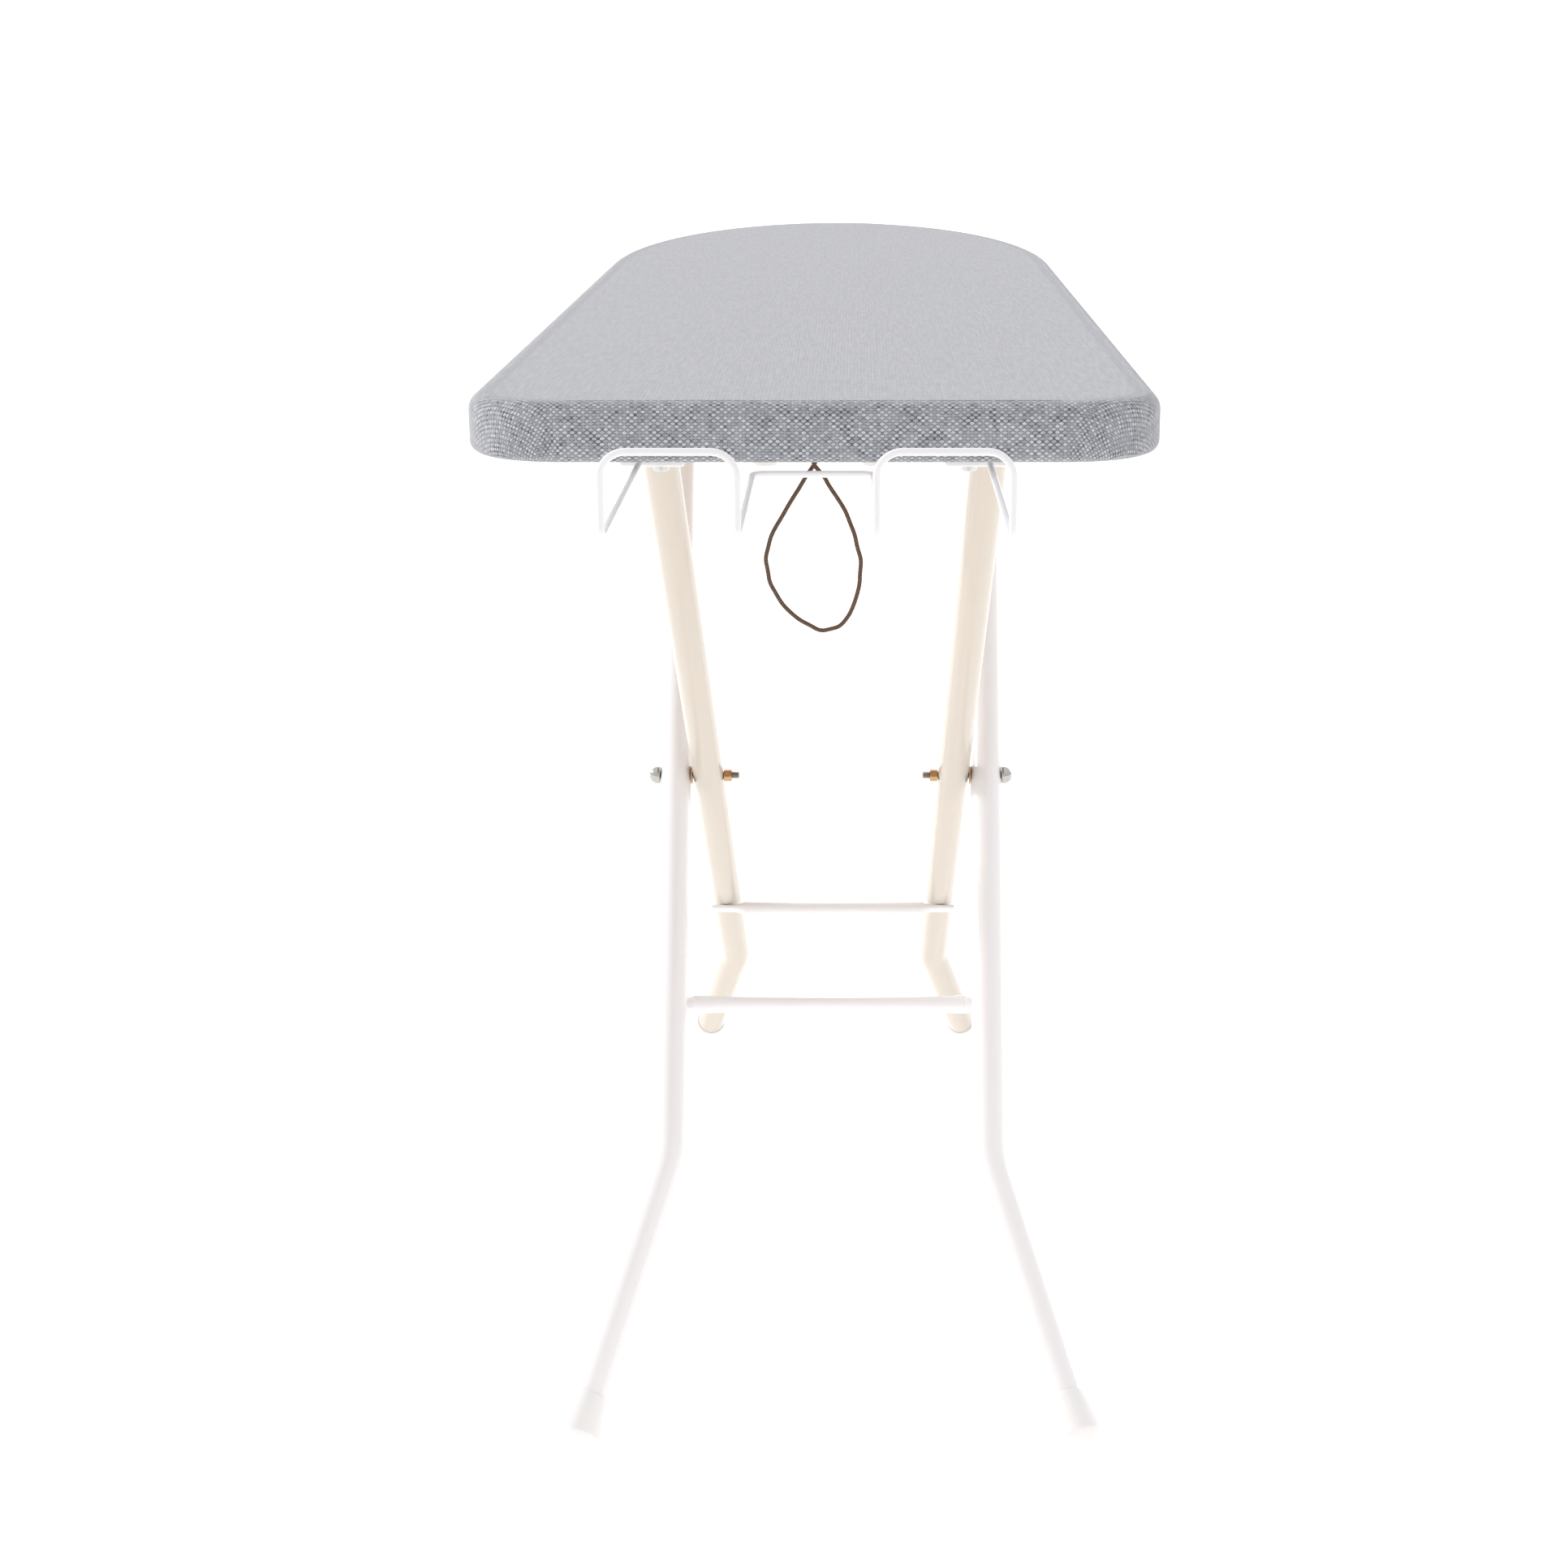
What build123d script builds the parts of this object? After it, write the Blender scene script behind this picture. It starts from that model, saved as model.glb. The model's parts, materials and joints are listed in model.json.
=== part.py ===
from build123d import *
import os
from math import acos, cos, radians, sin, tan

# A small folding ironing board: padded board, crossed leg frames of round tube, wire iron rest.
# Frame: +Z up, +Y along the board from its square end to its nose, +X to the right.
# Origin: on the floor, under the middle of the whole object's bounding box. Millimetres.

os.makedirs("parts", exist_ok=True)

# ---- driving dimensions -------------------------------------------------------------------
board_width = 316.0  # over the cover
board_length = 1156.0  # over the cover, square end to nose tip
nose_length = 402.0  # half ellipse at the far end
corner_radius = 45.0  # square end's corners, in plan
top_height = 703.0
board_depth = 27.0  # panel, pad and cover together
cover_wall = 1.2
panel_thickness = 12.0
top_edge_radius = 7.0
bottom_edge_radius = 5.0
hem_width = 40.0  # how far the cover reaches in under the board

tube_radius = 11.0
tube_wall = 1.2
top_bend_radius = 40.0
splay_bend_radius = 70.0
leg_angle = 44.2  # from the floor, degrees
pivot_from_end = 661.0
pivot_height = 345.0
top_bar_height = 660.0
foot_below_pivot = 490.0  # along the leg, pivot to the foot cap's tip
outer_half_width = 112.0  # tube centre at the pivot
outer_taper = 0.0177  # half width gained per mm up the leg
outer_splay_below = 296.0  # along the leg, pivot to splay bend
outer_foot_half_width = 160.4
inner_half_width = 88.4
inner_taper = 0.0218
inner_splay_below = 312.0
inner_foot_half_width = 116.3

fold_left_angle = 3.0  # leg angle that is left when the legs are folded flat

rest_reach = 150.0  # wire surface in front of the square end
rest_wire_radius = 1.5
rest_height = 33.5  # rise of the two stops, wire centre to wire centre
rest_outer_x = 80.0
rest_inner_x = 27.0

cord_radius = 1.0

# ---- derived places -----------------------------------------------------------------------
end_y = -(board_length - rest_reach) / 2  # face of the square end
nose_y = end_y + board_length
cover_bottom = top_height - board_depth
panel_bottom = cover_bottom + cover_wall
panel_top = panel_bottom + panel_thickness
pad_top = top_height - cover_wall
arm = (top_bar_height - pivot_height) / sin(radians(leg_angle))
pivot_y = end_y + pivot_from_end
hinge_y = pivot_y + arm * cos(radians(leg_angle))
slide_rest_y = pivot_y - arm * cos(radians(leg_angle))
slide_fold_y = hinge_y - 2 * arm * cos(radians(fold_left_angle))

NORMAL_OUTER = (0, -sin(radians(leg_angle)), cos(radians(leg_angle)))
NORMAL_INNER = (0, -sin(radians(leg_angle)), -cos(radians(leg_angle)))
outer_plane = Plane(origin=(0, pivot_y, pivot_height), x_dir=(1, 0, 0), z_dir=NORMAL_OUTER)
inner_plane = Plane(origin=(0, pivot_y, pivot_height), x_dir=(1, 0, 0), z_dir=NORMAL_INNER)

SIDES = (("left", -1), ("right", 1))


def save(part, name):
    part.label = name
    export_step(part, f"parts/{name}.step")


def draw_board_outline(inset):
    """Draws, in the current BuildLine, the board's outline moved in by inset."""
    half = board_width / 2 - inset
    near = end_y + inset
    shoulder = nose_y - nose_length
    corner = max(corner_radius - inset, 8)
    FilletPolyline((-half, shoulder), (-half, near), (half, near), (half, shoulder), radius=corner)
    EllipticalCenterArc((0, shoulder), half, nose_length - inset, start_angle=0, arc_size=180)


def rounded_slab(inset, bottom, top, top_radius, bottom_radius):
    with BuildPart() as slab:
        with BuildSketch(Plane.XY.offset(bottom)):
            with BuildLine():
                draw_board_outline(inset)
            make_face()
        extrude(amount=top - bottom)
        if top_radius > 0:
            fillet(slab.edges().group_by(Axis.Z)[-1], radius=top_radius)
        if bottom_radius > 0:
            fillet(slab.edges().group_by(Axis.Z)[0], radius=bottom_radius)
    return slab.part


# ---- fixings under the board: places -------------------------------------------------------
screw_radius = 2.0
screw_hole_radius = 2.1
screw_bite = 9.0  # how far a screw goes into the panel

hinge_x = 56.0
hinge_block_width = 20.0
hinge_block_length = 52.0
hinge_screw_offset = 20.0
hinge_clearance = 0.1
strap_thickness = 2.0
through = 60.0  # length of a cutter that passes right through a bracket

rail_x = 28.0
rail_width = 12.0
rail_clearance = 0.6
notch_pitch = 30.0
notch_count = 9
notch_lift = 3.0
notch_radius = tube_radius + 0.3
keeper_thickness = 2.0
keeper_reach = 184.0  # the keeper is a springy finger, fixed at its far end only
spacer_radius = 5.0
rail_near_y = slide_fold_y - 30.0
rail_far_y = slide_rest_y + 24.0
spacer_y = rail_far_y + 8.0
rail_screw_ys = (rail_near_y + 7.0, rail_far_y - 6.0)

rest_wire_z = cover_bottom - 5.2
rest_end_y = end_y + 60.0
rest_link_y = end_y + 4.0
clip_y = end_y + 48.5
clip_screw_x = rest_outer_x - 9.0

hinge_screw_places = [
    (sign * hinge_x, hinge_y + way * hinge_screw_offset) for _, sign in SIDES for way in (-1, 1)
]
keeper_screw_places = [(sign * rail_x, spacer_y) for _, sign in SIDES]
rail_screw_places = [(sign * rail_x, y) for _, sign in SIDES for y in rail_screw_ys]
clip_screw_places = [(sign * clip_screw_x, clip_y) for _, sign in SIDES]


# ---- board ---------------------------------------------------------------------------------
with BuildPart() as board_panel:
    with BuildSketch(Plane.XY.offset(panel_bottom)):
        with BuildLine():
            draw_board_outline(cover_wall)
        make_face()
    extrude(amount=panel_thickness)
    fillet(board_panel.edges().group_by(Axis.Z)[0], radius=bottom_edge_radius - cover_wall)
    with BuildSketch(Plane.XY.offset(panel_bottom)):
        with Locations(
            *hinge_screw_places, *keeper_screw_places, *rail_screw_places, *clip_screw_places
        ):
            Circle(screw_hole_radius)
    extrude(amount=screw_bite + 0.5, mode=Mode.SUBTRACT)
    with BuildSketch(Plane.XY.offset(panel_bottom)):
        with Locations(*[(sign * rest_outer_x, rest_end_y) for _, sign in SIDES]):
            Circle(rest_wire_radius + 0.1)
    extrude(amount=screw_bite, mode=Mode.SUBTRACT)
save(board_panel.part, "board_panel")

save(
    rounded_slab(cover_wall, panel_top, pad_top, top_edge_radius - cover_wall, 0),
    "foam_pad",
)

with BuildPart() as cover:
    add(rounded_slab(0, cover_bottom, top_height, top_edge_radius, bottom_edge_radius))
    add(
        rounded_slab(
            cover_wall,
            panel_bottom,
            pad_top,
            top_edge_radius - cover_wall,
            bottom_edge_radius - cover_wall,
        ),
        mode=Mode.SUBTRACT,
    )
    with BuildSketch(Plane.XY.offset(cover_bottom)):
        with BuildLine():
            draw_board_outline(hem_width)
        make_face()
    extrude(amount=cover_wall, mode=Mode.SUBTRACT)
save(cover.part, "cover")

# ---- drawcord and its eyelet ---------------------------------------------------------------
cord_y = end_y + 33.0
eyelet_radius = 6.0
eyelet_hole_radius = 3.3
eyelet_thickness = 1.6

with BuildPart() as hem_eyelet:
    with BuildSketch(Plane.XY.offset(cover_bottom - eyelet_thickness)):
        with Locations((0, cord_y)):
            Circle(eyelet_radius)
            Circle(eyelet_hole_radius, mode=Mode.SUBTRACT)
    extrude(amount=eyelet_thickness)
    fillet(hem_eyelet.faces().sort_by(Axis.Z)[0].edges(), radius=0.6)
save(hem_eyelet.part, "hem_eyelet")

# The loop's route: sideways from the eyelet, toward the nose, and below the cover's underside.
CORD_ROUTE = [
    (1.4, 1.3, 0.0),
    (1.4, 1.3, -6.8),
    (-4.6, 1.2, -12.6),
    (-9.8, 1.0, -20.6),
    (-15.2, 0.9, -29.4),
    (-20.2, 0.7, -38.8),
    (-22.6, 0.5, -49.2),
    (-21.2, 0.3, -60.2),
    (-15.8, 0.2, -70.0),
    (-7.4, 0.1, -77.8),
    (2.6, 0.0, -83.2),
    (11.8, -0.1, -81.0),
    (17.8, -0.3, -71.8),
    (20.4, -0.4, -61.0),
    (20.9, -0.6, -49.6),
    (18.6, -0.9, -38.0),
    (13.8, -1.1, -27.0),
    (8.2, -1.2, -16.6),
    (-1.4, -1.3, -8.6),
    (-1.4, -1.3, 0.0),
]
cord_points = [Vector(x, cord_y + y, cover_bottom + z) for x, y, z in CORD_ROUTE]


def corner_radii(points):
    """Largest tangent arc at each corner: 0.45 of the shorter run over the tangent of half the turn."""
    radii = []
    for before, corner, after in zip(points, points[1:], points[2:]):
        run_in = corner - before
        run_out = after - corner
        turn = run_in.get_angle(run_out)
        radii.append(0.45 * min(run_in.length, run_out.length) / tan(radians(turn / 2)))
    return radii


cord_radii = corner_radii(cord_points)
with BuildPart() as drawcord_loop:
    with BuildLine() as cord_path:
        FilletPolyline(*cord_points, radius=cord_radii)
    with BuildSketch(Plane(origin=cord_path.line @ 0, z_dir=cord_path.line % 0)):
        Circle(cord_radius)
    sweep(path=cord_path.line)
print("drawcord radii:", [round(radius, 1) for radius in cord_radii])
cord_length = sum(edge.length for edge in cord_path.edges())
print("drawcord length:", round(cord_length, 1), "volume:", round(drawcord_loop.part.volume, 1))
save(drawcord_loop.part, "drawcord_loop")

# ---- iron rest -----------------------------------------------------------------------------
rest_front_y = end_y - rest_reach + rest_wire_radius
rest_top_z = rest_wire_z + rest_height
rest_half = [
    (rest_outer_x, rest_end_y, panel_bottom + 6.0),
    (rest_outer_x, rest_end_y, rest_wire_z),
    (rest_outer_x, rest_front_y, rest_wire_z),
    (rest_outer_x, rest_front_y, rest_top_z),
    (rest_inner_x, rest_front_y, rest_top_z),
    (rest_inner_x, rest_front_y, rest_wire_z),
    (rest_inner_x, rest_link_y, rest_wire_z),
]
rest_half_radii = [3.5, 5.0, 10.0, 10.0, 5.0, 5.0]
rest_points = rest_half + [(-x, y, z) for x, y, z in reversed(rest_half)]
with BuildPart() as iron_rest_wire:
    with BuildLine() as rest_path:
        FilletPolyline(*rest_points, radius=rest_half_radii + rest_half_radii[::-1])
    with BuildSketch(Plane(origin=rest_path.line @ 0, z_dir=rest_path.line % 0)):
        Circle(rest_wire_radius)
    sweep(path=rest_path.line)
save(iron_rest_wire.part, "iron_rest_wire")

clip_width = 30.0
clip_length = 9.0
clip_bottom = rest_wire_z - rest_wire_radius - 1.8
for side, sign in SIDES:
    with BuildPart() as iron_rest_clip:
        with BuildSketch(Plane.XY.offset(clip_bottom)):
            with Locations((sign * (rest_outer_x - 5.0), clip_y)):
                RectangleRounded(clip_width, clip_length, 3.0)
        extrude(amount=panel_bottom - clip_bottom)
        fillet(iron_rest_clip.faces().sort_by(Axis.Z)[0].edges(), radius=1.2)
        with BuildSketch(Plane.XZ.offset(-clip_y)):
            with Locations((sign * rest_outer_x, rest_wire_z)):
                Circle(rest_wire_radius + 0.05)
        extrude(amount=clip_length, both=True, mode=Mode.SUBTRACT)
        with Locations((sign * clip_screw_x, clip_y, clip_bottom)):
            Cylinder(screw_hole_radius, through, mode=Mode.SUBTRACT)
    save(iron_rest_clip.part, f"iron_rest_clip_{side}")


def screw_group(name, places, head_z, head_radius, head_height):
    """Pan-head screws that point up into the panel, head underneath."""
    with BuildPart() as screws:
        with BuildSketch(Plane.XY.offset(head_z)):
            with Locations(*places):
                Circle(screw_radius)
        extrude(amount=panel_bottom + screw_bite - head_z)
        with BuildSketch(Plane.XY.offset(head_z - head_height)):
            with Locations(*places):
                Circle(head_radius)
        extrude(amount=head_height)
        fillet(screws.faces().group_by(Axis.Z)[0].edges(), radius=head_height * 0.55)
        with BuildSketch(Plane.XY.offset(head_z - head_height)):
            with Locations(*places):
                Rectangle(head_radius * 0.95, 0.8)
                Rectangle(0.8, head_radius * 0.95)
        extrude(amount=head_height * 0.6, mode=Mode.SUBTRACT)
    save(screws.part, name)


screw_group("iron_rest_screws", clip_screw_places, clip_bottom, 3.8, 2.4)

# ---- hinge of the outer leg ----------------------------------------------------------------
seat_radius = tube_radius + hinge_clearance
for side, sign in SIDES:
    with BuildPart() as hinge_block:
        with BuildSketch(Plane.XY.offset(top_bar_height)):
            with Locations((sign * hinge_x, hinge_y)):
                RectangleRounded(hinge_block_width, hinge_block_length, 4.0)
        extrude(amount=panel_bottom - top_bar_height)
        with BuildSketch(Plane.YZ.offset(sign * hinge_x)):
            with Locations((hinge_y, top_bar_height)):
                Circle(seat_radius)
        extrude(amount=hinge_block_width, both=True, mode=Mode.SUBTRACT)
        with Locations(*[(x, y, top_bar_height) for x, y in hinge_screw_places]):
            Cylinder(screw_hole_radius, through, mode=Mode.SUBTRACT)
    save(hinge_block.part, f"hinge_block_{side}")

    with BuildPart() as hinge_strap:
        with BuildSketch(Plane.YZ.offset(sign * hinge_x - hinge_block_width / 2)):
            with Locations((hinge_y, top_bar_height)):
                Circle(seat_radius + strap_thickness)
            with Locations((hinge_y, top_bar_height - strap_thickness / 2)):
                Rectangle(hinge_block_length, strap_thickness)
            with Locations((hinge_y, top_bar_height)):
                Circle(seat_radius, mode=Mode.SUBTRACT)
            with Locations((hinge_y, top_bar_height + 10)):
                Rectangle(hinge_block_length, 20, mode=Mode.SUBTRACT)
        extrude(amount=hinge_block_width)
        with Locations(*[(x, y, top_bar_height) for x, y in hinge_screw_places]):
            Cylinder(screw_hole_radius, through, mode=Mode.SUBTRACT)
    save(hinge_strap.part, f"hinge_strap_{side}")

screw_group("hinge_screws", hinge_screw_places, top_bar_height - strap_thickness, 4.0, 2.6)

# ---- rack that the inner leg's top bar slides along ----------------------------------------
rail_bottom = top_bar_height + tube_radius + rail_clearance
keeper_top = top_bar_height - tube_radius - rail_clearance
notch_ys = [slide_rest_y - notch_pitch * step for step in range(notch_count)]
for side, sign in SIDES:
    with BuildPart() as rack_rail:
        with BuildSketch(Plane.YZ.offset(sign * rail_x - rail_width / 2)):
            with Locations(((rail_near_y + rail_far_y) / 2, (rail_bottom + panel_bottom) / 2)):
                Rectangle(rail_far_y - rail_near_y, panel_bottom - rail_bottom)
            with Locations(*[(y, top_bar_height + notch_lift) for y in notch_ys]):
                Circle(notch_radius, mode=Mode.SUBTRACT)
        extrude(amount=rail_width)
        with Locations(*[(sign * rail_x, y, rail_bottom) for y in rail_screw_ys]):
            Cylinder(screw_hole_radius, through, mode=Mode.SUBTRACT)
    save(rack_rail.part, f"rack_rail_{side}")

    with BuildPart() as rack_keeper:
        with BuildSketch(Plane.XY.offset(keeper_top - keeper_thickness)):
            with Locations((sign * rail_x, spacer_y - keeper_reach / 2)):
                SlotCenterToCenter(keeper_reach, rail_width, rotation=90)
            with Locations((sign * rail_x, spacer_y)):
                Circle(screw_hole_radius, mode=Mode.SUBTRACT)
        extrude(amount=keeper_thickness)
    save(rack_keeper.part, f"rack_keeper_{side}")

with BuildPart() as rack_spacers:
    with BuildSketch(Plane.XY.offset(keeper_top)):
        with Locations(*keeper_screw_places):
            Circle(spacer_radius)
            Circle(screw_hole_radius, mode=Mode.SUBTRACT)
    extrude(amount=panel_bottom - keeper_top)
save(rack_spacers.part, "rack_spacers")

screw_group("keeper_screws", keeper_screw_places, keeper_top - keeper_thickness, 4.0, 2.6)
screw_group("rail_screws", rail_screw_places, rail_bottom, 3.8, 2.4)

# ---- leg frames ----------------------------------------------------------------------------
top_bar_half = 38.0  # where the top bar meets the bent leg tubes
spigot_length = 16.0
spigot_clearance = 0.1
bolt_radius = 2.5
bolt_clearance = 0.1
crossbar_end_height = 8.4
crossbar_end_depth = 4.0
crossbar_taper = 8.0  # length over which a round bar becomes flat
crossbar_gap = 0.1
outer_crossbar_below = 176.0  # along the leg, pivot to stretcher
outer_crossbar_half = 116.5
outer_crossbar_radii = (6.4, 4.8)  # near the ends and at the waist
inner_crossbar_below = 197.0
inner_crossbar_half = 95.0
inner_crossbar_radii = (5.4, 4.5)
tube_end_gap = 10.0  # cap tip to tube end
cap_length = 36.0
cap_rim_radius = 12.3
cap_edge_radius = 15.7
cap_dome = 9.0
cap_wall_clearance = 0.05


def dome_middle(edge, rise):
    """Middle of the arc from a dome's edge, at radius edge and height rise, to its top at the origin."""
    sphere = (edge**2 + rise**2) / (2 * rise)
    half_turn = acos((sphere - rise) / sphere) / 2
    return (sphere * sin(half_turn), sphere * (1 - cos(half_turn)))


cap_dome_middle = dome_middle(cap_edge_radius - 0.4, cap_dome)


class Leg:
    """One leg frame in its own plane: x across, y up the leg from the pivot."""

    def __init__(self, plane, half_width, taper, splay_below, foot_half_width):
        self.plane = plane
        self.half_width = half_width
        self.taper = taper
        self.splay_below = splay_below
        self.foot_half_width = foot_half_width

    def half(self, below):
        return self.half_width - self.taper * below

    def splay_slope(self):
        return (self.foot_half_width - self.half(self.splay_below)) / (foot_below_pivot - self.splay_below)

    def splay(self, below):
        """Half width of the splayed lower leg, below the splay bend."""
        return self.foot_half_width + self.splay_slope() * (below - foot_below_pivot)

    def point(self, x, below, lift=0.0):
        return self.plane.from_local_coords(Vector(x, -below, lift))


outer_leg = Leg(outer_plane, outer_half_width, outer_taper, outer_splay_below, outer_foot_half_width)
inner_leg = Leg(inner_plane, inner_half_width, inner_taper, inner_splay_below, inner_foot_half_width)


def leg_tube(leg, sign):
    """Bent tube: top stub, corner bend, long straight, splay bend, splayed end."""
    low = foot_below_pivot - tube_end_gap
    corners = [
        leg.point(sign * top_bar_half, -arm),
        leg.point(sign * leg.half(-arm), -arm),
        leg.point(sign * leg.half(leg.splay_below), leg.splay_below),
        leg.point(sign * leg.splay(low), low),
    ]
    with BuildPart() as tube:
        with BuildLine() as path:
            FilletPolyline(*corners, radius=[top_bend_radius, splay_bend_radius])
        with BuildSketch(Plane(origin=path.line @ 0, z_dir=path.line % 0)):
            Circle(tube_radius)
            Circle(tube_radius - tube_wall, mode=Mode.SUBTRACT)
        sweep(path=path.line)
        with BuildSketch(Plane.YZ.offset(sign * leg.half_width)):
            with Locations((pivot_y, pivot_height)):
                Circle(bolt_radius + bolt_clearance)
        extrude(amount=tube_radius * 2, both=True, mode=Mode.SUBTRACT)
    return tube.part


def top_bar(y):
    """Straight bar with reduced ends that push into the leg tubes."""
    spigot_radius = tube_radius - tube_wall - spigot_clearance
    reach = top_bar_half + spigot_length
    with BuildPart() as bar:
        for radius, half_length, mode in (
            (tube_radius, top_bar_half, Mode.ADD),
            (spigot_radius, reach, Mode.ADD),
            (spigot_radius - tube_wall, reach, Mode.SUBTRACT),
        ):
            with BuildSketch(Plane.YZ):
                with Locations((y, top_bar_height)):
                    Circle(radius)
            extrude(amount=half_length, both=True, mode=mode)
    return bar.part


def crossbar(leg, below, half_length, side, radii):
    """Welded stretcher: round bar, a little slimmer in the middle, ends pressed flat on the tubes."""
    centre = leg.point(0, below, side * (tube_radius + crossbar_gap + crossbar_end_depth / 2))
    across = Plane(origin=centre, x_dir=leg.plane.y_dir, z_dir=(1, 0, 0))
    radius, waist_radius = radii
    flat_start = leg.half(below) - tube_radius + crossbar_taper / 2
    round_end = flat_start - crossbar_taper
    with BuildPart() as bar:
        for at, section_radius in ((-round_end, radius), (0, waist_radius), (round_end, radius)):
            with BuildSketch(across.offset(at)):
                Circle(section_radius)
        loft()
        for sign in (-1, 1):
            with BuildSketch(across.offset(sign * round_end)):
                Circle(radius)
            with BuildSketch(across.offset(sign * flat_start)):
                SlotOverall(crossbar_end_height, crossbar_end_depth)
            loft()
            with BuildSketch(across.offset(sign * flat_start)):
                SlotOverall(crossbar_end_height, crossbar_end_depth)
            extrude(amount=sign * (half_length - flat_start))
    return bar.part


def foot_cap(leg, sign):
    """Push-on cup that flares to a domed end, cut flat where it stands on the floor."""
    tip = leg.point(sign * leg.foot_half_width, foot_below_pivot)
    upper = leg.point(sign * leg.splay(foot_below_pivot - 1), foot_below_pivot - 1)
    along = (upper - tip).normalized()
    profile = Plane(origin=tip, x_dir=leg.plane.z_dir, z_dir=leg.plane.z_dir.cross(along))
    with BuildPart() as cap:
        with BuildSketch(profile):
            with BuildLine():
                Polyline(
                    (0, 0),
                    (0, cap_length),
                    (cap_rim_radius - 0.7, cap_length),
                    (cap_rim_radius, cap_length - 0.7),
                    (cap_edge_radius, cap_dome + 1.0),
                    (cap_edge_radius - 0.4, cap_dome),
                )
                ThreePointArc((cap_edge_radius - 0.4, cap_dome), cap_dome_middle, (0, 0))
            make_face()
        revolve(axis=Axis(tip, along))
        with BuildSketch(Plane(origin=tip + along * (tube_end_gap - 0.5), z_dir=along)):
            Circle(tube_radius + cap_wall_clearance)
        extrude(amount=cap_length, mode=Mode.SUBTRACT)
        split(bisect_by=Plane.XY, keep=Keep.TOP)
    return cap.part


for name, leg in (("outer", outer_leg), ("inner", inner_leg)):
    for side, sign in SIDES:
        save(leg_tube(leg, sign), f"{name}_leg_tube_{side}")
        save(foot_cap(leg, sign), f"{name}_foot_cap_{side}")
save(top_bar(hinge_y), "outer_leg_top_bar")
save(top_bar(slide_rest_y), "inner_leg_top_bar")
outer_bar = crossbar(outer_leg, outer_crossbar_below, outer_crossbar_half, -1, outer_crossbar_radii)
inner_bar = crossbar(inner_leg, inner_crossbar_below, inner_crossbar_half, 1, inner_crossbar_radii)
save(outer_bar, "outer_crossbar")
save(inner_bar, "inner_crossbar")

# ---- pivots --------------------------------------------------------------------------------
head_radius = 6.2
head_height = 7.8
head_rim = 1.6
spacer_washer_radius = 6.5
spacer_washer_thickness = 0.9
nut_height = 5.6
nut_across_flats = 8.0
bolt_end_x = 66.2
running_gap = 0.3  # between pieces that turn past each other
seat_gap = 0.25  # a flat washer or head on a slightly slanted round tube

head_x = outer_half_width + tube_radius + seat_gap
spacer_x = outer_half_width - tube_radius - seat_gap - spacer_washer_thickness
nut_x = inner_half_width - tube_radius - running_gap - nut_height
pivot_place = (pivot_y, pivot_height)
pivot_axis_plane = Plane(origin=(0, pivot_y, pivot_height), x_dir=(1, 0, 0), z_dir=(0, -1, 0))
head_middle = dome_middle(head_radius, head_height - head_rim)

with BuildPart() as pivot_bolt:
    with BuildSketch(pivot_axis_plane):
        with BuildLine():
            Polyline(
                (head_x + head_height, 0),
                (bolt_end_x, 0),
                (bolt_end_x, bolt_radius - 0.6),
                (bolt_end_x + 0.6, bolt_radius),
                (head_x, bolt_radius),
                (head_x, head_radius),
                (head_x + head_rim, head_radius),
            )
            ThreePointArc(
                (head_x + head_rim, head_radius),
                (head_x + head_height - head_middle[1], head_middle[0]),
                (head_x + head_height, 0),
            )
        make_face()
    revolve(axis=Axis((0, pivot_y, pivot_height), (1, 0, 0)))

with BuildPart() as pivot_nut:
    with BuildSketch(Plane.YZ.offset(nut_x)):
        with Locations(pivot_place):
            RegularPolygon(nut_across_flats / 2, 6, major_radius=False)
            Circle(bolt_radius + 0.05, mode=Mode.SUBTRACT)
    extrude(amount=nut_height)
    chamfer(pivot_nut.edges().filter_by(GeomType.LINE).group_by(Axis.X)[0], length=0.4)

with BuildPart() as pivot_washer:
    with BuildSketch(Plane.YZ.offset(spacer_x)):
        with Locations(pivot_place):
            Circle(spacer_washer_radius)
            Circle(bolt_radius + 0.15, mode=Mode.SUBTRACT)
    extrude(amount=spacer_washer_thickness)


def save_both_sides(part, name):
    """The right-hand piece, and its mirror image for the left."""
    save(part, f"{name}_right")
    with BuildPart() as left:
        add(mirror(part, about=Plane.YZ))
    save(left.part, f"{name}_left")


save_both_sides(pivot_bolt.part, "pivot_bolt")
save_both_sides(pivot_nut.part, "pivot_nut")
save_both_sides(pivot_washer.part, "pivot_washer")
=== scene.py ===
import json
import math

import bmesh
import bpy
from mathutils import Matrix, Vector, noise


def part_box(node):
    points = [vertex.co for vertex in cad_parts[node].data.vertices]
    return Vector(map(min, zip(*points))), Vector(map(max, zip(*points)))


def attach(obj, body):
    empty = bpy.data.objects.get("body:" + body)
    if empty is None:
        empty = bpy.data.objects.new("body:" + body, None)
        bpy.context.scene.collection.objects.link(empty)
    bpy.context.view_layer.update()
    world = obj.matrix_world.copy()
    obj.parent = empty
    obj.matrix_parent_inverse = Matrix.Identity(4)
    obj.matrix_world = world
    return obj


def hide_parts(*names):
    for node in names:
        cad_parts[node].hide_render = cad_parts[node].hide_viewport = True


# A small folding ironing board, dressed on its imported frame. Metres, +Z up, +Y from the square end to the nose.

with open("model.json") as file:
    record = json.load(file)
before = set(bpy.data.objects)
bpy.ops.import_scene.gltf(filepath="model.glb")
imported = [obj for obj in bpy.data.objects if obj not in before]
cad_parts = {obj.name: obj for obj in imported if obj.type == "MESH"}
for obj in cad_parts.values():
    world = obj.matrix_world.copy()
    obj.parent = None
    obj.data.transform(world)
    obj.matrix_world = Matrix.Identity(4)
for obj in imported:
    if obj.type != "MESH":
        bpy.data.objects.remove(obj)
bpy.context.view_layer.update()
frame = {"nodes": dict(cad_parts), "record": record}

MM = 0.001

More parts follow.
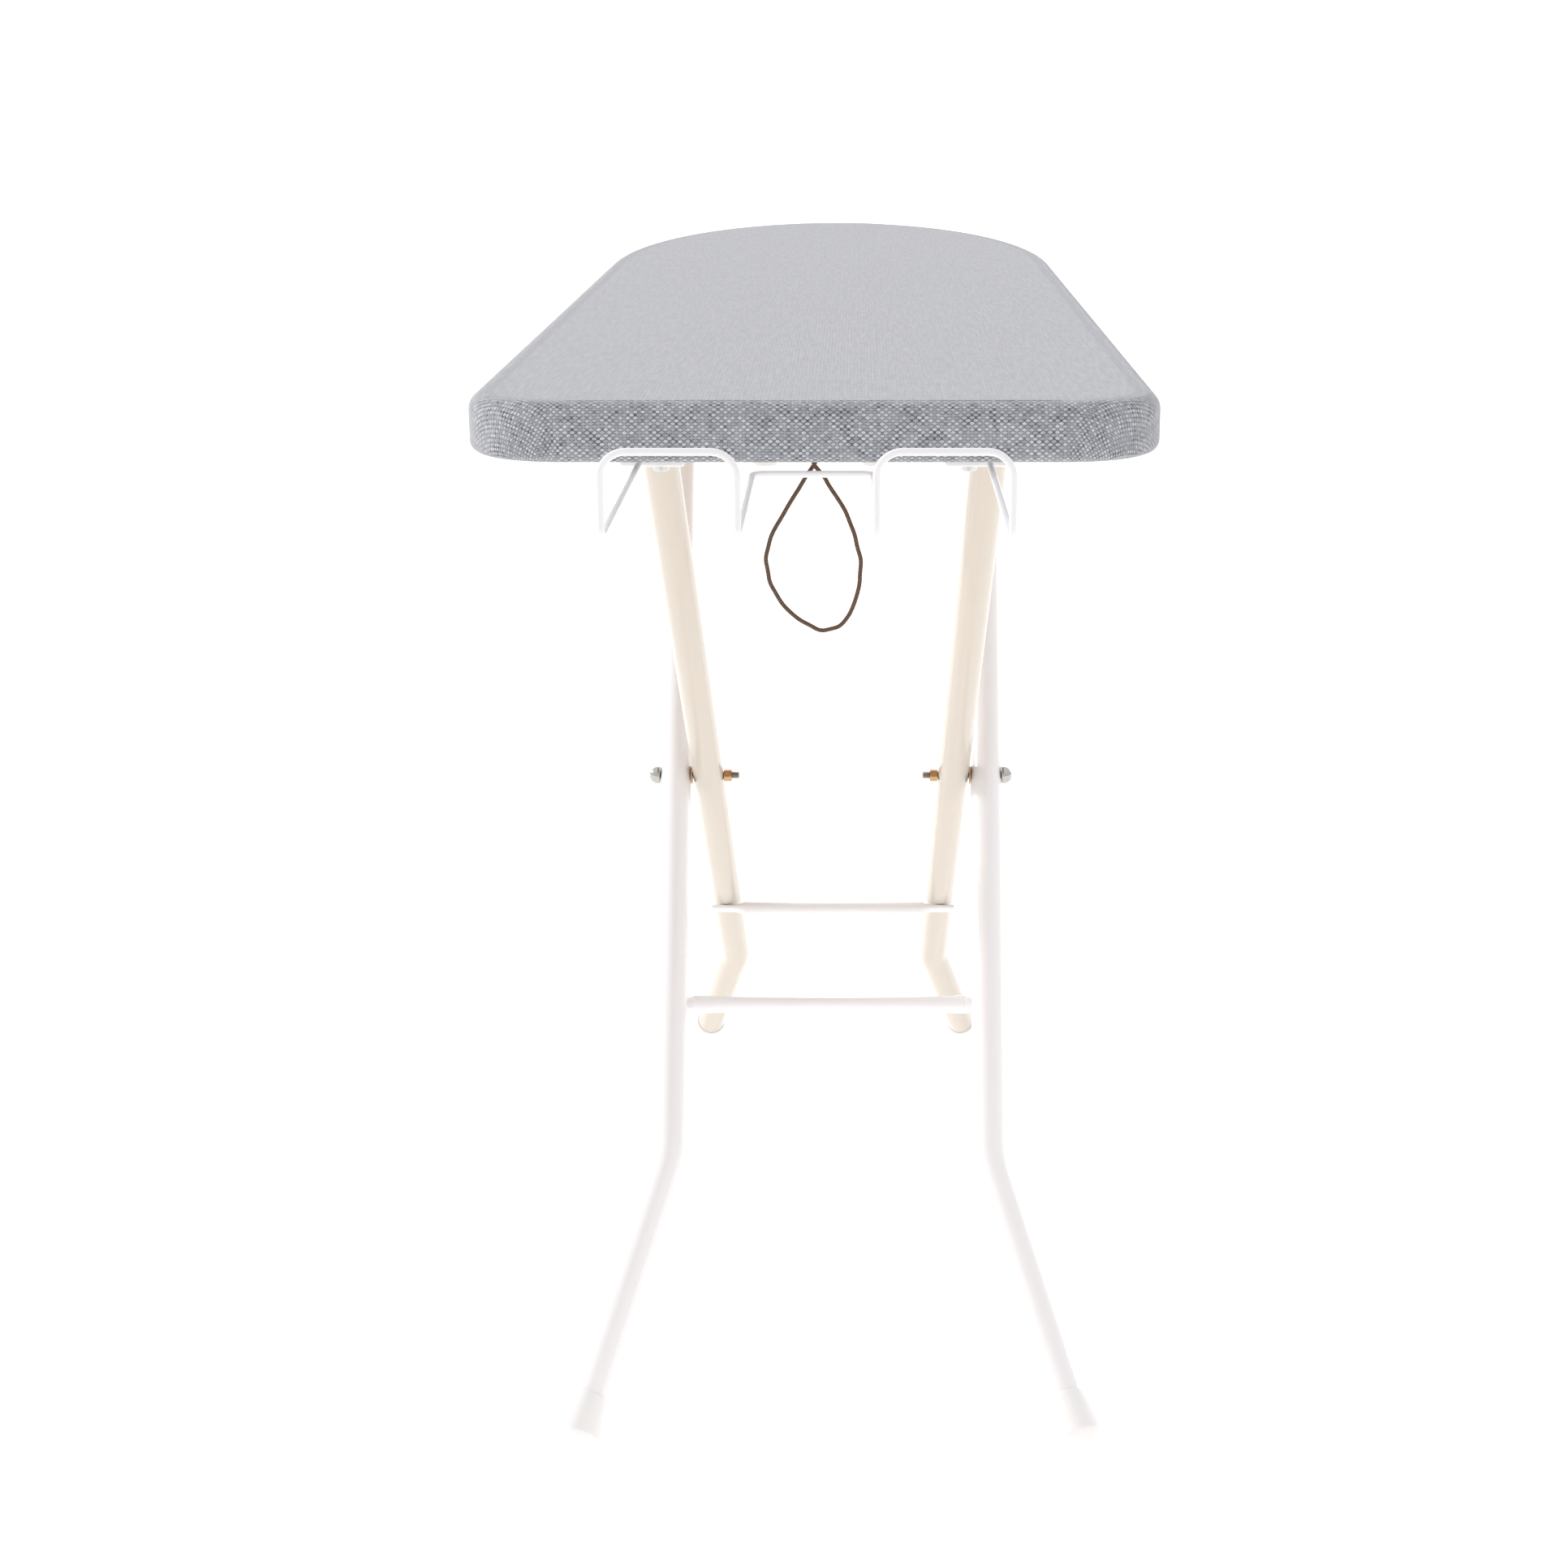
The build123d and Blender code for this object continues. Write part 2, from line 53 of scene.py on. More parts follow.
# ---- places read from the frame ---------------------------------------------------------------
cover_low, cover_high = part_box("cover")
HALF_WIDTH = (cover_high.x - cover_low.x) / 2
END_Y = cover_low.y
NOSE_Y = cover_high.y
TOP_Z = cover_high.z
UNDER_Z = cover_low.z
nut_low, nut_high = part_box("pivot_nut_right")
PIVOT_Y = (nut_low.y + nut_high.y) / 2
PIVOT_Z = (nut_low.z + nut_high.z) / 2
eyelet_low, eyelet_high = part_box("hem_eyelet")

# ---- shape of the cover -----------------------------------------------------------------------
NOSE_LENGTH = 402 * MM
NOSE_ROW_SHARE = 0.24  # half width of the nose's first row of cloth cells, as a share of the board's
CORNER_RADIUS = 45 * MM
TOP_EDGE_RADIUS = 8 * MM
BOTTOM_EDGE_RADIUS = 5 * MM
HEM_WIDTH = 36 * MM
CASING_IN = 37 * MM  # the drawcord channel's middle, in from the board's edge
COVER_THICKNESS = 0.8 * MM
YARN_ACROSS = 1.65 * MM  # pitch of the yarns along the board's width
YARN_ALONG = 1.3 * MM
BOW_ROWS = 40  # rows over which the nose's curve fades into straight rows
EASE_COLUMNS = 6  # columns over which the padding's unevenness starts at each side

# ---- drawcord, the same route as in the part's source -----------------------------------------
CORD_DIAMETER = 2 * MM
CORD_KINK = 0.8 * MM
CORD_Y = (eyelet_low.y + eyelet_high.y) / 2
CORD_ROUTE = [
    (1.4, 1.3, 0.0),
    (1.4, 1.3, -6.8),
    (-4.6, 1.2, -12.6),
    (-9.8, 1.0, -20.6),
    (-15.2, 0.9, -29.4),
    (-20.2, 0.7, -38.8),
    (-22.6, 0.5, -49.2),
    (-21.2, 0.3, -60.2),
    (-15.8, 0.2, -70.0),
    (-7.4, 0.1, -77.8),
    (2.6, 0.0, -83.2),
    (11.8, -0.1, -81.0),
    (17.8, -0.3, -71.8),
    (20.4, -0.4, -61.0),
    (20.9, -0.6, -49.6),
    (18.6, -0.9, -38.0),
    (13.8, -1.1, -27.0),
    (8.2, -1.2, -16.6),
    (-1.4, -1.3, -8.6),
    (-1.4, -1.3, 0.0),
]

CROSSING_DOWN = [(1.1, 1.3, -2.4), (0.2, 1.3, -5.4)]  # the strands cross just under the hem
CROSSING_UP = [(4.6, -1.2, -11.4), (-0.2, -1.3, -5.4), (-1.1, -1.3, -2.4)]


# ---- camera -----------------------------------------------------------------------------------
CAMERA_PLACE = (0.02013, -1.6477, 0.85804)
CAMERA_DOWN = 16.08  # degrees below level
LENS = 59.63
SENSOR = 36.0


def make_camera():
    data = bpy.data.cameras.new("camera")
    data.sensor_width = SENSOR
    data.lens = LENS
    data.shift_x = -0.0476
    data.shift_y = 0.0006
    data.clip_end = 100.0
    camera = bpy.data.objects.new("camera", data)
    bpy.context.scene.collection.objects.link(camera)
    camera.location = CAMERA_PLACE
    camera.rotation_euler = (math.radians(90 - CAMERA_DOWN), 0, 0)
    bpy.context.scene.camera = camera


make_camera()


# ---- small tools for node materials -----------------------------------------------------------
class Nodes:
    """A material's node tree, with short calls that return output sockets."""

    def __init__(self, name):
        self.material = bpy.data.materials.new(name)
        self.material.use_nodes = True
        self.tree = self.material.node_tree
        self.shader = self.tree.nodes["Principled BSDF"]

    def add(self, kind, inputs=None, output=0, **settings):
        node = self.tree.nodes.new("ShaderNode" + kind)
        for key, value in settings.items():
            setattr(node, key, value)
        for key, value in (inputs or {}).items():
            self.feed(node.inputs[key], value)
        return node.outputs[output]

    def feed(self, socket, value):
        if isinstance(value, bpy.types.NodeSocket):
            self.tree.links.new(value, socket)
        else:
            socket.default_value = value

    def math(self, operation, *values):
        return self.add("Math", dict(enumerate(values)), operation=operation)

    def place(self, scale):
        """Position in the piece's own coordinates: metres times scale along each axis."""
        where = self.add("TexCoord", output="Object")
        return self.add("Mapping", {"Vector": where, "Scale": scale})

    def noise(self, scale, detail=2.0, stretch=(1, 1, 1), rough=0.5):
        inputs = {"Vector": self.place(stretch), "Scale": scale, "Detail": detail, "Roughness": rough}
        return self.add("TexNoise", inputs)

    def ramp(self, value, *stops):
        out = self.add("ValToRGB", {"Fac": value})
        band = out.node.color_ramp
        while len(band.elements) < len(stops):
            band.elements.new(0.5)
        for element, (position, colour) in zip(band.elements, stops):
            element.position = position
            element.color = (*colour, 1) if len(colour) == 3 else colour
        return out

    def mix(self, share, first, second, blend="MIX"):
        out = self.add("Mix", output=2, data_type="RGBA", blend_type=blend)
        self.feed(out.node.inputs[0], share)
        self.feed(out.node.inputs[6], (*first, 1) if isinstance(first, tuple) else first)
        self.feed(out.node.inputs[7], (*second, 1) if isinstance(second, tuple) else second)
        return out

    def span(self, value, low, high):
        """Maps 0..1 to low..high."""
        return self.add("MapRange", {"Value": value, "To Min": low, "To Max": high})

    def bump(self, height, strength, distance):
        return self.add("Bump", {"Height": height, "Strength": strength, "Distance": distance})

    def finish(self, colour=None, rough=None, normal=None, **constants):
        for key, value in (("Base Color", colour), ("Roughness", rough), ("Normal", normal)):
            if value is not None:
                self.feed(self.shader.inputs[key], (*value, 1) if isinstance(value, tuple) else value)
        for key, value in constants.items():
            self.shader.inputs[key.replace("_", " ")].default_value = value
        return self.material


def painted(name, colour, tint, rough=0.22, peel=0.05):
    """Powder coat or enamel: slight orange peel, faint tone drift, a glossy top layer."""
    n = Nodes(name)
    drift = n.noise(9.0, 3.0)
    shade = n.mix(n.span(drift, 0.0, 0.7), colour, tint)
    normal = n.bump(n.noise(260.0, 1.0), peel, 0.08 * MM)
    return n.finish(shade, rough, normal, Coat_Weight=0.6, Coat_Roughness=0.08, IOR=1.5)


def moulded(name, colour, tint, rough=0.38):
    """Moulded plastic: satin with fine grain and faint flow lines."""
    n = Nodes(name)
    shade = n.mix(n.noise(14.0, 3.0, (1, 1, 0.4)), colour, tint)
    gloss = n.span(n.noise(60.0, 3.0), rough - 0.06, rough + 0.10)
    normal = n.bump(n.noise(1300.0, 2.0), 0.18, 0.06 * MM)
    return n.finish(shade, gloss, normal, Subsurface_Weight=0.05, Subsurface_Scale=0.004)


def plated(name, colour, tint, rough=0.16, brushed=60.0):
    """Plated metal: fine drawn lines, cloudy passivation, patchy gloss."""
    n = Nodes(name)
    cloud = n.noise(160.0, 4.0)
    shade = n.mix(cloud, colour, tint)
    gloss = n.span(n.noise(300.0, 3.0), rough - 0.05, rough + 0.12)
    lines = n.noise(brushed, 3.0, (60, 4, 4))
    normal = n.bump(lines, 0.10, 0.03 * MM)
    return n.finish(shade, gloss, normal, Metallic=1.0)


def woven(name):
    """Plain weave of grey melange yarns, from the cover's own cloth coordinates in metres, with painted shade in
    the gaps between yarns that fades into a flat tone at grazing view.
    """
    n = Nodes(name)
    cloth = n.add("UVMap", uv_map="cloth")
    wander = n.add("TexNoise", {"Vector": cloth, "Scale": 90.0, "Detail": 2.0}, output=1)
    wobble = n.add("VectorMath", {0: wander, 1: (0.5, 0.5, 0.5)}, operation="SUBTRACT")
    wobble = n.add("VectorMath", {0: wobble, "Scale": 1.1 * MM}, operation="SCALE")
    bent = n.add("VectorMath", {0: cloth, 1: wobble}, operation="ADD")
    xyz = n.add("SeparateXYZ", {0: bent})
    across = n.math("DIVIDE", xyz, YARN_ACROSS)
    along = n.math("DIVIDE", xyz.node.outputs[1], YARN_ALONG)
    column = n.math("FLOOR", across)
    row = n.math("FLOOR", along)
    in_column = n.math("SUBTRACT", n.math("FRACT", across), 0.5)
    in_row = n.math("SUBTRACT", n.math("FRACT", along), 0.5)
    parity = n.math("FLOORED_MODULO", n.math("ADD", column, row), 2.0)
    over = n.math("MULTIPLY_ADD", parity, -2.0, 1.0)
    hump_across = n.math("COSINE", n.math("MULTIPLY", in_column, math.pi))
    hump_along = n.math("COSINE", n.math("MULTIPLY", in_row, math.pi))

    def yarn(rise, swing, side, sunk):
        """Height of a yarn: it rises and dips along its length and is round across it."""
        arch = n.math("MULTIPLY", n.math("MULTIPLY", over, swing), rise)
        return n.math("SUBTRACT", n.math("MULTIPLY_ADD", n.math("POWER", side, 0.6), 0.8, arch), sunk)

    weft = yarn(0.5, hump_across, hump_along, 0.0)
    warp = yarn(-0.5, hump_along, hump_across, 0.2)
    height = n.math("MAXIMUM", weft, warp)
    warp_on_top = n.math("GREATER_THAN", warp, weft)
    cell = n.add("CombineXYZ", {0: column, 1: row})
    stitch = n.add("TexWhiteNoise", {"Vector": cell}, noise_dimensions="2D")
    strand = n.add("TexNoise", {"Vector": bent, "Scale": 2600.0, "Detail": 2.0})
    cluster = n.add("TexNoise", {"Vector": cloth, "Scale": 110.0, "Detail": 3.0, "Roughness": 0.65})
    long_fibre = n.add("Mapping", {"Vector": cloth, "Scale": (620.0, 45.0, 1.0)})
    slub = n.add("TexNoise", {"Vector": long_fibre, "Scale": 1.0, "Detail": 2.0})
    light = n.mix(stitch, (0.32, 0.333, 0.365), (0.66, 0.67, 0.70))
    patchy = n.math("ADD", n.span(cluster, -0.5, 1.3), n.span(stitch, -0.25, 0.25))
    dark = n.ramp(patchy, (0.25, (0.30, 0.315, 0.355)), (0.80, (0.035, 0.04, 0.055)))
    shade = n.mix(warp_on_top, light, dark)
    shade = n.mix(n.span(strand, 0.0, 0.35), shade, (0.46, 0.48, 0.53))
    # Painted shade: the low places between the yarns are darkened, standing in for the shade that falls into the
    # gaps.
    painted_gap_shade = n.ramp(height, (0.22, (0.12, 0.13, 0.16)), (0.70, (1, 1, 1)))
    shade = n.mix(1.0, shade, painted_gap_shade, "MULTIPLY")
    # Painted light: at a grazing view the painted gap shade and the yarn contrast fade into one flat tone. This
    # stands in for gaps hidden behind the yarn crowns and makes the top lighter than the front.
    slant = n.add("LayerWeight", {"Blend": 0.5}, output="Facing")
    gap_shade_fade = n.add("MapRange", {"Value": slant, "From Min": 0.55, "From Max": 0.88, "To Max": 0.72})
    shade = n.mix(gap_shade_fade, shade, (0.435, 0.441, 0.474))
    streak = n.ramp(slub, (0.35, (0.87, 0.87, 0.87)), (0.65, (1, 1, 1)))
    shade = n.mix(1.0, shade, streak, "MULTIPLY")
    fuzz = n.math("MULTIPLY_ADD", strand, 0.16, height)
    normal = n.bump(fuzz, 0.7, 0.26 * MM)
    return n.finish(shade, 0.92, normal, Sheen_Weight=0.25, Sheen_Roughness=0.55, Specular_IOR_Level=0.25)


def felted(name):
    """Off-white felt: short matted fibres."""
    n = Nodes(name)
    fibre = n.noise(700.0, 5.0, (1, 2.5, 1), 0.7)
    shade = n.ramp(fibre, (0.3, (0.60, 0.58, 0.54)), (0.7, (0.82, 0.80, 0.76)))
    return n.finish(shade, 0.95, n.bump(fibre, 0.5, 0.4 * MM), Sheen_Weight=0.3)


def particle_board(name):
    """Pressed wood chips: short light and dark flakes that lie all ways."""
    n = Nodes(name)
    flakes = n.add("TexVoronoi", {"Vector": n.place((1, 0.45, 1)), "Scale": 260.0}, output="Color")
    tone = n.add("SeparateColor", {0: flakes})
    fine = n.noise(600.0, 4.0)
    blend = n.math("ADD", n.math("MULTIPLY", tone, 0.6), n.math("MULTIPLY", fine, 0.4))
    stops = (0.15, (0.20, 0.12, 0.06)), (0.5, (0.44, 0.30, 0.17)), (0.85, (0.66, 0.50, 0.31))
    shade = n.ramp(blend, *stops)
    return n.finish(shade, n.span(fine, 0.6, 0.85), n.bump(blend, 0.3, 0.15 * MM))


def braided(name):
    """Brown drawcord: light and dark strands crossing in a fine diamond braid."""
    n = Nodes(name)

    def strands(way):
        inputs = {"Vector": n.place(way), "Scale": 420.0, "Distortion": 3.0, "Detail": 2.0}
        return n.add("TexWave", inputs, output=1, bands_direction="DIAGONAL")

    weave = n.math("MAXIMUM", strands((1, 1, 1)), strands((-1, 1, 1)))
    shade = n.ramp(weave, (0.25, (0.028, 0.016, 0.010)), (0.9, (0.165, 0.095, 0.055)))
    return n.finish(shade, 0.8, n.bump(weave, 0.7, 0.2 * MM), Sheen_Weight=0.2)


WHITE = (0.95, 0.945, 0.955)
WHITE_TINT = (0.92, 0.895, 0.905)
materials = {
    "cover": woven("cloth_grey_melange"),
    "pad": felted("felt_pad"),
    "wood": particle_board("particle_board"),
    "cord": braided("cord_brown"),
    "outer_paint": painted("paint_white", WHITE, WHITE_TINT),
    # The inner legs' paint is darker and warmer than the white. Part of this is the ivory paint itself, and part
    # is painted shade and warm floor bounce on these downward-facing legs.
    "inner_paint": painted("paint_ivory_and_painted_shade", (0.615, 0.555, 0.475), (0.585, 0.53, 0.465), 0.26),
    "wire_paint": painted("paint_wire", (0.86, 0.855, 0.875), (0.82, 0.805, 0.825), 0.3),
    "foot_plastic": moulded("plastic_foot", (0.95, 0.945, 0.945), (0.92, 0.905, 0.90)),
    "bracket_plastic": moulded("plastic_bracket", (0.90, 0.90, 0.90), (0.86, 0.86, 0.86)),
    "bracket_steel": painted("paint_bracket", (0.88, 0.88, 0.89), (0.84, 0.83, 0.83), 0.3),
    "chrome": plated("chrome_bright", (0.62, 0.62, 0.62), (0.40, 0.40, 0.37), 0.12),
    "zinc": plated("zinc_yellow", (0.60, 0.35, 0.16), (0.46, 0.34, 0.24), 0.24),
    "screws": plated("zinc_white", (0.70, 0.71, 0.72), (0.58, 0.58, 0.58), 0.26),
}
thread_metal = plated("zinc_thread", (0.40, 0.34, 0.30), (0.27, 0.24, 0.21), 0.34)
pale_enamel = painted("paint_stretcher", (0.85, 0.835, 0.84), (0.82, 0.79, 0.79), 0.26)
for part in frame["record"]["subparts"]:
    node = frame["nodes"][part["node"]]
    node.data.materials.clear()
    node.data.materials.append(materials[part["material_slot"]])


frame["nodes"]["inner_crossbar"].data.materials[0] = pale_enamel


# ---- mesh pieces ------------------------------------------------------------------------------
def add_piece(name, mesh, body, slot, *nodes):
    """Puts a finished mesh in the scene, smooth, on its body, in its slot's material."""
    piece = bpy.data.objects.new(name, mesh)
    bpy.context.scene.collection.objects.link(piece)
    if not mesh.materials:
        mesh.materials.append(materials[slot])
    for polygon in mesh.polygons:
        polygon.use_smooth = True
    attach(piece, body)
    if nodes:
        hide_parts(*nodes)
    return piece


def mesh_from(name, verts, faces):
    mesh = bpy.data.meshes.new(name)
    mesh.from_pydata(verts, [], faces)
    mesh.validate()
    return mesh


def outline(step, columns):
    """The board's outline as (point, outward normal), in four lists: nose row, right side, end row, left side.

    It starts at the nose row's left end and runs by the nose, down the right side, along the square end and
    up the left side. The nose row and the end row have the same number of points.
    """
    shoulder = NOSE_Y - NOSE_LENGTH
    nose_half = NOSE_ROW_SHARE * HALF_WIDTH
    end_half = HALF_WIDTH - CORNER_RADIUS

    def on_nose(x):
        rise = NOSE_LENGTH * math.sqrt(1 - (x / HALF_WIDTH) ** 2)
        normal = Vector((x / HALF_WIDTH**2, rise / NOSE_LENGTH**2)).normalized()
        return Vector((x, shoulder + rise)), normal

    nose = [on_nose(nose_half * (2 * i / columns - 1)) for i in range(columns + 1)]
    right = []
    angle_from = math.acos(nose_half / HALF_WIDTH)
    count = round(NOSE_LENGTH / step)
    for i in range(1, count):
        right.append(on_nose(HALF_WIDTH * math.cos(angle_from * (1 - i / count))))
    straight = shoulder - (END_Y + CORNER_RADIUS)
    count = round(straight / step)
    for i in range(count + 1):
        right.append((Vector((HALF_WIDTH, shoulder - straight * i / count)), Vector((1, 0))))
    centre = Vector((end_half, END_Y + CORNER_RADIUS))
    count = round(CORNER_RADIUS * math.pi / 2 / step)
    for i in range(1, count):
        turn = -math.pi / 2 * i / count
        normal = Vector((math.cos(turn), math.sin(turn)))
        right.append((centre + normal * CORNER_RADIUS, normal))
    end = [
        (Vector((end_half * (1 - 2 * i / columns), END_Y)), Vector((0, -1))) for i in range(columns + 1)
    ]
    left = [(Vector((-p.x, p.y)), Vector((-n.x, n.y))) for p, n in reversed(right)]
    return nose, right, end, left


def ripple(point, scale, seed):
    """Smooth noise of -1..1 by place."""
    high = point.z * scale if len(point) > 2 else 0.0
    return noise.noise(Vector((point.x * scale, point.y * scale, high + seed)))


def shell(name, step, columns, profile, lift, closed_below):
    """A skin over the board: rings from the profile, then a filled top. Returns its mesh with cloth UVs.

    profile lists (inset, height, cloth distance past the top edge, gather), from the lowest ring to the top.
    lift is how uneven the padding makes the top.
    """
    nose, right, end, left = outline(step, columns)
    ring = nose + right + end + left
    verts, cloth = [], []
    for inset, height, reach, gather in profile:
        for point, normal in ring:
            spot = point - normal * inset
            drop = gather * (0.6 + ripple(point, 70, 3.0) + 0.6 * ripple(point, 160, 7.0))
            verts.append((spot.x, spot.y, height - max(drop, 0.0)))
            cloth.append(point + normal * reach)
    count = len(ring)
    faces = []
    for level in range(len(profile) - 1):
        low, high = level * count, (level + 1) * count
        for i in range(count):
            j = (i + 1) % count
            faces.append((low + j, low + i, high + i, high + j))

    def strip(first, second, flip):
        quads = [(first[i], first[i + 1], second[i + 1], second[i]) for i in range(columns)]
        faces.extend(quad if flip else quad[::-1] for quad in quads)

    def fill(level, flip):
        """Rows across one ring, with their inner points added to verts."""
        base = level * count
        previous = [base + i for i in range(columns + 1)]
        nose_line = [Vector(verts[i]) for i in previous]
        for k in range(len(right)):
            left_id, right_id = base + count - 1 - k, base + len(nose) + k
            a, b = Vector(verts[left_id]), Vector(verts[right_id])
            row = [left_id]
            near_nose = max(0.0, 1 - k / BOW_ROWS)
            bow = near_nose**2 * (3 - 2 * near_nose)
            for i in range(1, columns):
                share = i / columns
                spot = a.lerp(b, share)
                chord = nose_line[0].lerp(nose_line[-1], share)
                spot.y += (nose_line[i].y - chord.y) * bow
                ease = min(share, 1 - share) * columns / EASE_COLUMNS
                spot.z += lift * min(ease, 1.0) * (0.5 + ripple(spot, 16, 11.0))
                row.append(len(verts))
                verts.append(tuple(spot))
                cloth.append(Vector((spot.x, spot.y)))
            row.append(right_id)
            strip(previous, row, flip)
            previous = row
        end_row = [base + len(nose) + len(right) + columns - i for i in range(columns + 1)]
        strip(previous, end_row, flip)

    fill(len(profile) - 1, False)
    if closed_below:
        fill(0, True)
    mesh = mesh_from(name, verts, faces)
    layer = mesh.uv_layers.new(name="cloth")
    for loop in mesh.loops:
        layer.data[loop.index].uv = cloth[loop.vertex_index]
    return mesh


def edge_profile():
    """The cover's section from the hem, round the lower edge, up the side and over the top edge."""
    hem_steps, low_steps, side_steps, top_steps = 12, 6, 5, 8
    hem_start = BOTTOM_EDGE_RADIUS + 1 * MM
    hem_sag = 1.5 * MM
    side_top = TOP_Z - TOP_EDGE_RADIUS
    side_low = UNDER_Z + BOTTOM_EDGE_RADIUS
    quarter = math.pi / 2
    side_reach = TOP_EDGE_RADIUS * quarter + side_top - side_low
    hem_reach = side_reach + BOTTOM_EDGE_RADIUS * quarter
    rows = []
    for i in range(hem_steps):
        inset = HEM_WIDTH + (hem_start - HEM_WIDTH) * i / hem_steps
        share = (inset - BOTTOM_EDGE_RADIUS) / (HEM_WIDTH - BOTTOM_EDGE_RADIUS)
        rows.append((inset, UNDER_Z, hem_reach + inset - BOTTOM_EDGE_RADIUS, hem_sag * share**1.3))
    for i in range(low_steps + 1):
        turn = quarter * i / low_steps
        inset = BOTTOM_EDGE_RADIUS * (1 - math.sin(turn))
        height = side_low - BOTTOM_EDGE_RADIUS * math.cos(turn)
        rows.append((inset, height, hem_reach - BOTTOM_EDGE_RADIUS * turn, 0.0))
    for i in range(1, side_steps):
        share = i / side_steps
        height = side_low + (side_top - side_low) * share
        rows.append((0.0, height, TOP_EDGE_RADIUS * quarter + side_top - height, 0.0))
    for i in range(top_steps + 1):
        turn = quarter * i / top_steps
        inset = TOP_EDGE_RADIUS * (1 - math.cos(turn))
        height = side_top + TOP_EDGE_RADIUS * math.sin(turn)
        rows.append((inset, height, TOP_EDGE_RADIUS * (quarter - turn), 0.0))
    return rows


def make_cover():
    """The cloth cover, stretched over the pad and gathered into a channel underneath."""
    step, columns, lift = 3.0 * MM, 76, 0.25 * MM
    mesh = shell("cover_cloth", step, columns, edge_profile(), lift, False)
    piece = add_piece("cover_cloth", mesh, "board", "cover", "cover")
    solid = piece.modifiers.new("thickness", "SOLIDIFY")
    solid.thickness = COVER_THICKNESS
    solid.offset = -1.0
    casing = make_casing()


def make_casing():
    """The rolled channel at the hem's inner edge, puckered by the drawcord, flat where the eyelet sits."""
    step, columns, around = 2.4 * MM, 96, 12
    half_width, flat_width = 3.1, 0.4  # millimetres, and how much narrower it is at the eyelet
    half_depth, flat_depth = 1.35, 0.45
    flat_reach = 11 * MM  # how far from the middle of the square end it lies flat
    nose, right, end, left = outline(step, columns)
    ring = nose + right + end + left
    verts, faces, cloth = [], [], []
    length = 0.0
    for k, (point, normal) in enumerate(ring):
        middle = point - normal * CASING_IN
        length += (point - ring[k - 1][0]).length if k else 0.0
        near = math.exp(-((point.x / flat_reach) ** 2)) if point.y < END_Y + 1 * MM else 0.0
        pucker = 1 + 0.28 * ripple(point, 150, 21.0) + 0.18 * ripple(point, 420, 5.0)
        wide = (half_width - flat_width * near) * MM * (0.9 + 0.1 * pucker)
        deep = (half_depth * pucker * (1 - near) + flat_depth * near) * MM
        height = UNDER_Z + 0.35 * MM - deep * 0.55 * (1 - near) + 0.25 * MM * near
        for i in range(around):
            turn = 2 * math.pi * i / around
            out = wide * math.cos(turn)
            spot = middle + normal * out
            verts.append((spot.x, spot.y, height + deep * math.sin(turn)))
            cloth.append((length, wide * turn))
    count = len(ring)
    for k in range(count):
        m = (k + 1) % count
        for i in range(around):
            j = (i + 1) % around
            faces.append((k * around + i, m * around + i, m * around + j, k * around + j))
    mesh = mesh_from("cover_casing", verts, faces)
    layer = mesh.uv_layers.new(name="cloth")
    for loop in mesh.loops:
        layer.data[loop.index].uv = cloth[loop.vertex_index]
    return add_piece("cover_casing", mesh, "board", "cover")


def make_foam():
    """The felt and foam pad under the cover, its top edge rounded like the cover's."""
    foam_low, foam_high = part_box("foam_pad")
    inset, steps = 1.4 * MM, 6
    radius = TOP_EDGE_RADIUS - inset
    rows = [(inset, foam_low.z + height, 0.0, 0.0) for height in (0.1 * MM, 3 * MM)]
    for i in range(steps + 1):
        turn = math.pi / 2 * i / steps
        height = foam_high.z - 0.2 * MM - radius * (1 - math.sin(turn))
        rows.append((inset + radius * (1 - math.cos(turn)), height, 0.0, 0.0))
    mesh = shell("foam_core", 8.0 * MM, 28, rows, 0.0, True)
    piece = add_piece("foam_core", mesh, "board", "pad", "foam_pad")


def kinked_route():
    """The cord's route in metres, with the small bends that a limp braided cord keeps."""
    route = [CORD_ROUTE[0], *CROSSING_DOWN, *CORD_ROUTE[2:-2], *CROSSING_UP, CORD_ROUTE[-1]]
    corners = [Vector((x * MM, CORD_Y + y * MM, UNDER_Z + z * MM)) for x, y, z in route]
    points = []
    for k in range(len(corners) - 1):
        for half in (0.0, 0.5):
            spot = corners[k].lerp(corners[k + 1], half)
            free = 0 if k < 1 or k > len(corners) - 3 else CORD_KINK
            points.append(spot + Vector((free * ripple(spot, 900, 1.0), free * ripple(spot, 700, 2.0), 0)))
    return points + [corners[-1]]


def make_drawcord():
    """The loop of drawcord that hangs from the hem's eyelet."""
    data = bpy.data.curves.new("drawcord", "CURVE")
    data.dimensions = "3D"
    spline = data.splines.new("NURBS")
    route = kinked_route()
    spline.points.add(len(route) - 1)
    for point, place in zip(spline.points, route):
        point.co = (*place, 1)
    spline.order_u = 3
    spline.use_endpoint_u = True
    spline.resolution_u = 8
    data.bevel_depth = CORD_DIAMETER / 2
    data.bevel_resolution = 4
    data.use_fill_caps = True
    data.materials.append(materials["cord"])
    piece = bpy.data.objects.new("drawcord", data)
    bpy.context.scene.collection.objects.link(piece)
    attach(piece, "board")
    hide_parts("drawcord_loop")


